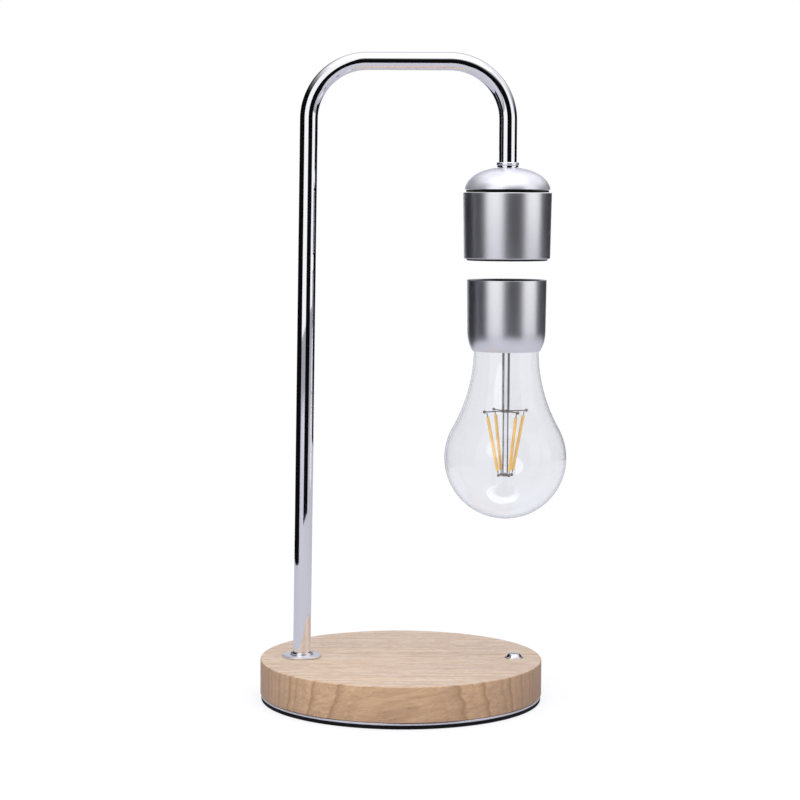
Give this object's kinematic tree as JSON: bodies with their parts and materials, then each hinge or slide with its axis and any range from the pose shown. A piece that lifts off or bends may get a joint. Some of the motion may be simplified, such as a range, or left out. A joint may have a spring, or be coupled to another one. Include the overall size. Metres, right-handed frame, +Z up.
{
  "type": "levitating lamp",
  "caption": "Table lamp with a round wooden base, a bent chrome arm and a magnet head, under which a glass filament bulb with a metal cup floats free.",
  "frame": {"origin": "centre of the base's flat underside, on the table", "axes": "+Z up, +X from the post towards the bulb, -Y is the front"},
  "size_m": [0.173, 0.16, 0.365],
  "materials": {
    "wood": "pale ash, fine straight grain, oiled",
    "steel": "bright turned edge",
    "rubber": "matt black",
    "nickel": "nickel plated",
    "chrome": "mirror polished",
    "satin_metal": "satin, finely brushed round",
    "capacitor_can": "plain can",
    "black_plastic": "matt black",
    "white_plastic": "plain moulded",
    "cable_sheath": "matt sheath",
    "copper": "enamelled copper wire",
    "board_green": "green solder mask",
    "ferrite": "dark ferrite sheet",
    "clear_glass": "clear blown glass",
    "stem_glass": "clear drawn glass",
    "carrier_wire": "nickel wire",
    "filament_amber": "amber phosphor coat"
  },
  "bodies": {
    "stand": {"wood_base": "wood", "weight_plate": "steel", "rubber_pad": "rubber", "base_screw_1": "nickel", "base_screw_2": "nickel", "base_screw_3": "nickel", "arm_tube": "chrome", "arm_lead": "cable_sheath", "lead_plug": "white_plastic", "post_flange": "chrome", "post_washer": "steel", "post_nut": "nickel", "control_board": "board_green", "board_standoff_1": "white_plastic", "board_standoff_2": "white_plastic", "controller_chip": "black_plastic", "filter_capacitor": "capacitor_can", "dc_jack": "black_plastic", "dc_jack_nut": "nickel", "button_bushing": "chrome", "button_spring": "steel", "switch_body": "black_plastic", "head_collar": "chrome", "head_dome": "chrome", "tube_end_nut": "nickel", "seam_ring": "rubber", "head_sleeve": "satin_metal", "head_bottom_cover": "black_plastic", "magnet_yoke": "steel", "magnet_core": "steel", "coil_bobbin": "white_plastic", "magnet_coil": "copper", "bias_magnet": "nickel", "hall_sensor": "black_plastic", "transmitter_ferrite": "ferrite", "transmitter_coil": "copper", "head_board": "board_green"},
    "button": {"button_cap": "chrome", "switch_plunger": "white_plastic"},
    "float_magnet": {"levitation_magnet": "nickel"},
    "bulb": {"bulb_cup": "satin_metal", "cup_cover": "black_plastic", "receiver_coil": "copper", "receiver_ferrite": "ferrite", "magnet_tray": "white_plastic", "bulb_board": "board_green", "neck_seat": "white_plastic", "glass_envelope": "clear_glass", "glass_stem": "stem_glass", "upper_carrier": "carrier_wire", "lower_carrier": "carrier_wire", "filament_1": "filament_amber", "filament_2": "filament_amber", "filament_3": "filament_amber", "filament_4": "filament_amber", "stem_lead_1": "carrier_wire", "stem_lead_2": "carrier_wire"}
  },
  "joints": [
    {"name": "button_press", "type": "slide", "parent": "stand", "child": "button", "axis": [0, 0, -1], "range_m": [0, 0.001], "stiffness_N_per_m": 800, "springref_m": -0.001, "deforming": ["button_spring"]},
    {"name": "bulb_lift", "type": "slide", "parent": "stand", "child": "float_magnet", "axis": [0, 0, 1], "range_m": [-0.077, 0.0105], "stiffness_N_per_m": 120, "springref_m": 0.01004},
    {"name": "bulb_spin", "type": "hinge", "parent": "float_magnet", "child": "bulb", "pos_m": [0.0585, 0, 0.1035], "axis": [0, 0, 1], "continuous": true}
  ]
}
